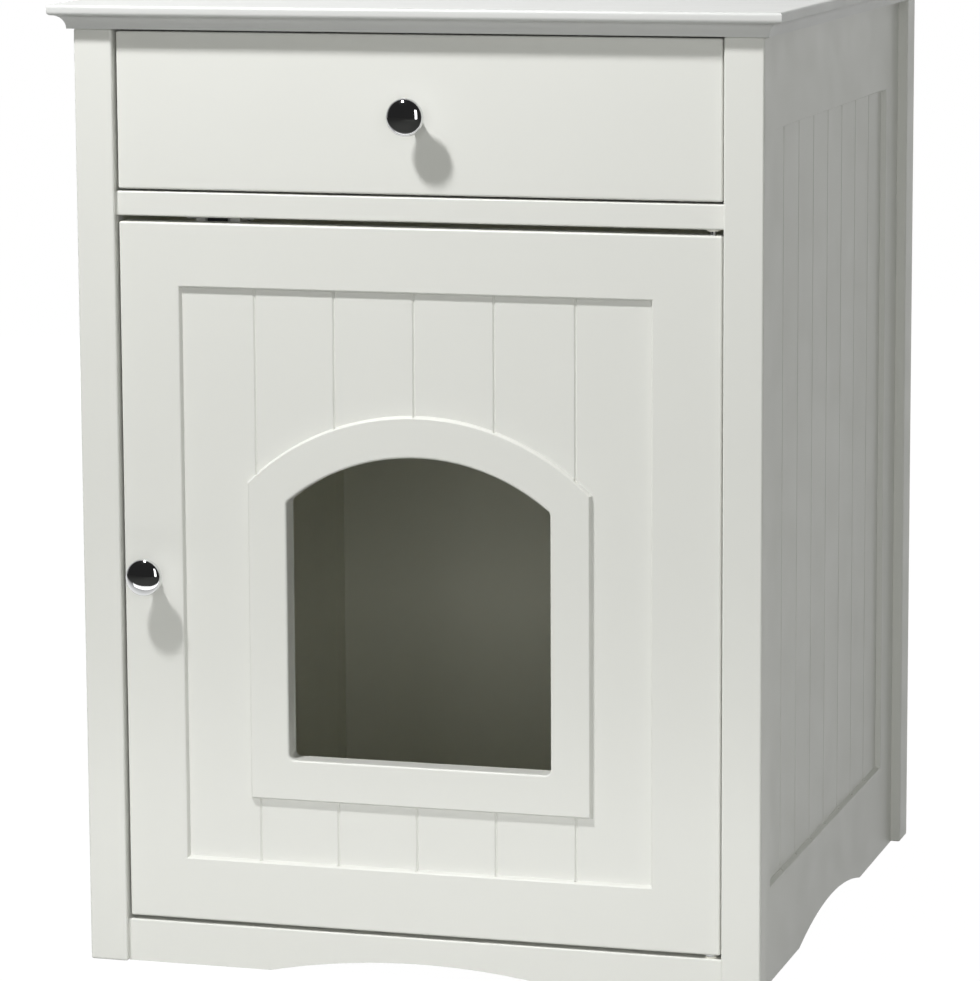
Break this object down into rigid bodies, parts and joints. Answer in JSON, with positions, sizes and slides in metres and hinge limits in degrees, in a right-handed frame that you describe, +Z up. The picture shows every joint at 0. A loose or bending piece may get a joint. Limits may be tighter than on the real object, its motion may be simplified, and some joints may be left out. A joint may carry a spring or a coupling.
{
  "type": "cat litter box cabinet",
  "caption": "White painted cabinet for a cat litter tray, with a roller drawer, a hinged door with an arched cat doorway, grooved panels and chrome knobs.",
  "frame": {"origin": "on the floor, at the middle of the bounding box", "axes": "+X to the right seen from the front, -Y out of the front, +Z up"},
  "size_m": [0.485, 0.5246, 0.636],
  "materials": {
    "white_paint": "semi-gloss white paint on fibreboard",
    "hardboard": "white faced hardboard",
    "white_slide": "white epoxy coated steel",
    "nylon": "natural nylon",
    "chrome": "polished",
    "steel": "zinc plated",
    "zinc": "die-cast zinc",
    "beech": "bare beech",
    "white_plastic": "moulded"
  },
  "bodies": {
    "cabinet": {"top_panel": "white_paint", "side_panel_left": "white_paint", "side_panel_right": "white_paint", "front_post_left": "white_paint", "front_post_right": "white_paint", "rear_post_left": "white_paint", "rear_post_right": "white_paint", "back_panel": "white_paint", "bottom_panel": "white_paint", "mid_rail": "white_paint", "front_apron": "white_paint", "rear_rail": "white_paint", "slide_packing_left": "white_paint", "slide_packing_right": "white_paint", "slide_cabinet_member_left": "white_slide", "slide_cabinet_member_right": "white_slide", "pivot_bush_top": "nylon", "pivot_bush_bottom": "nylon", "cabinet_roller_rivets": "steel", "slide_cabinet_screws": "steel", "cam_bolts": "steel", "back_panel_screws": "steel", "catch_screws": "steel", "catch_magnet": "steel", "cam_housings": "zinc", "wood_dowels": "beech", "catch_housing": "white_plastic"},
    "drawer": {"drawer_front": "white_paint", "drawer_side_left": "white_paint", "drawer_side_right": "white_paint", "drawer_back": "white_paint", "drawer_bottom": "hardboard", "drawer_knob": "chrome", "drawer_knob_screw": "steel", "slide_drawer_member_left": "white_slide", "slide_drawer_member_right": "white_slide", "drawer_roller_rivets": "steel", "slide_drawer_screws": "steel", "drawer_cam_housings": "zinc", "drawer_cam_bolts": "steel", "drawer_dowels": "beech", "drawer_screws": "steel"},
    "door": {"door_panel": "white_paint", "door_knob": "chrome", "door_knob_screw": "steel", "pivot_pin_top": "steel", "pivot_pin_bottom": "steel", "pivot_washer": "steel", "strike_plate": "steel", "strike_plate_screws": "steel"},
    "cabinet_roller_left": {"cabinet_roller_left": "nylon"},
    "cabinet_roller_right": {"cabinet_roller_right": "nylon"},
    "drawer_roller_left": {"drawer_roller_left": "nylon"},
    "drawer_roller_right": {"drawer_roller_right": "nylon"}
  },
  "joints": [
    {"name": "drawer_slide", "type": "slide", "parent": "cabinet", "child": "drawer", "axis": [0, -1, 0], "range_m": [0, 0.3]},
    {"name": "door_hinge", "type": "hinge", "parent": "cabinet", "child": "door", "pos_m": [0.1945, -0.2317, 0.031], "axis": [0, 0, 1], "range_deg": [0, 105]},
    {"name": "cabinet_roller_left_turn", "type": "hinge", "parent": "cabinet", "child": "cabinet_roller_left", "pos_m": [-0.19675, -0.2057, 0.529], "axis": [1, 0, 0], "range_deg": [0, 2025]},
    {"name": "drawer_roller_left_turn", "type": "hinge", "parent": "drawer", "child": "drawer_roller_left", "pos_m": [-0.19675, 0.1603, 0.529], "axis": [1, 0, 0], "range_deg": [0, 2025]},
    {"name": "cabinet_roller_right_turn", "type": "hinge", "parent": "cabinet", "child": "cabinet_roller_right", "pos_m": [0.19675, -0.2057, 0.529], "axis": [1, 0, 0], "range_deg": [0, 2025]},
    {"name": "drawer_roller_right_turn", "type": "hinge", "parent": "drawer", "child": "drawer_roller_right", "pos_m": [0.19675, 0.1603, 0.529], "axis": [1, 0, 0], "range_deg": [0, 2025]}
  ],
  "couplings": [
    {"joint": "cabinet_roller_left_turn", "follows": "drawer_slide", "rad_per_m": 117.65},
    {"joint": "drawer_roller_left_turn", "follows": "drawer_slide", "rad_per_m": 117.65},
    {"joint": "cabinet_roller_right_turn", "follows": "drawer_slide", "rad_per_m": 117.65},
    {"joint": "drawer_roller_right_turn", "follows": "drawer_slide", "rad_per_m": 117.65}
  ]
}
